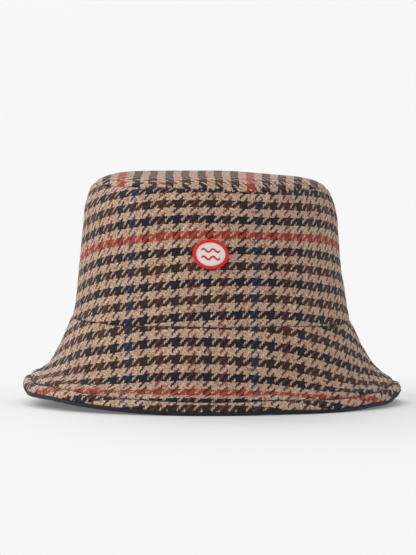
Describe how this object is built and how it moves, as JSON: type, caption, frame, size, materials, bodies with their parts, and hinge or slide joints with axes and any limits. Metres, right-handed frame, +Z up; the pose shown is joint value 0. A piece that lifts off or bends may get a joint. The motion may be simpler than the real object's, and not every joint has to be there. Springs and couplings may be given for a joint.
{
  "type": "bucket hat",
  "caption": "Soft tweed bucket hat with a flat-topped crown, a drooping stitched brim turned over a dark facing, a lining, a sweatband and a small sewn patch in front.",
  "frame": {"origin": "on the table under the middle of the hat, at the bottom centre of its box", "axes": "+Z up through the crown, -Y towards the front with the patch, +X to the wearer's left side"},
  "size_m": [0.2618, 0.2656, 0.1589],
  "materials": {
    "tweed": "coarse woven wool",
    "interlining": "matt non-woven",
    "lining": "fine plain weave, slight sheen",
    "facing": "matt cotton twill",
    "thread": "spun thread",
    "patch_cloth": "twill",
    "patch_thread": "satin embroidery thread",
    "label": "woven satin tape"
  },
  "bodies": {
    "hat": {"crown_tip": "tweed", "crown_side_front": "tweed", "crown_side_back": "tweed", "tip_interlining": "interlining", "side_interlining_front": "interlining", "side_interlining_back": "interlining", "tip_lining": "lining", "side_lining_front": "lining", "side_lining_back": "lining", "sweatband": "facing", "sweatband_stitch": "thread", "brim_top_front": "tweed", "brim_top_back": "tweed", "brim_interlining_front": "interlining", "brim_interlining_back": "interlining", "brim_facing_front": "facing", "brim_facing_back": "facing", "brim_stitch_upper": "thread", "brim_stitch_lower": "thread", "patch_field": "patch_cloth", "patch_border": "patch_thread", "patch_wave_upper": "patch_thread", "patch_wave_lower": "patch_thread", "size_tab": "label"},
    "label": {"care_label": "label"}
  },
  "joints": [
    {"name": "care_label_flip", "type": "hinge", "parent": "hat", "child": "label", "pos_m": [0, 0.08878, 0.08705], "axis": [-1, 0, 0], "range_deg": [0, 150]}
  ]
}
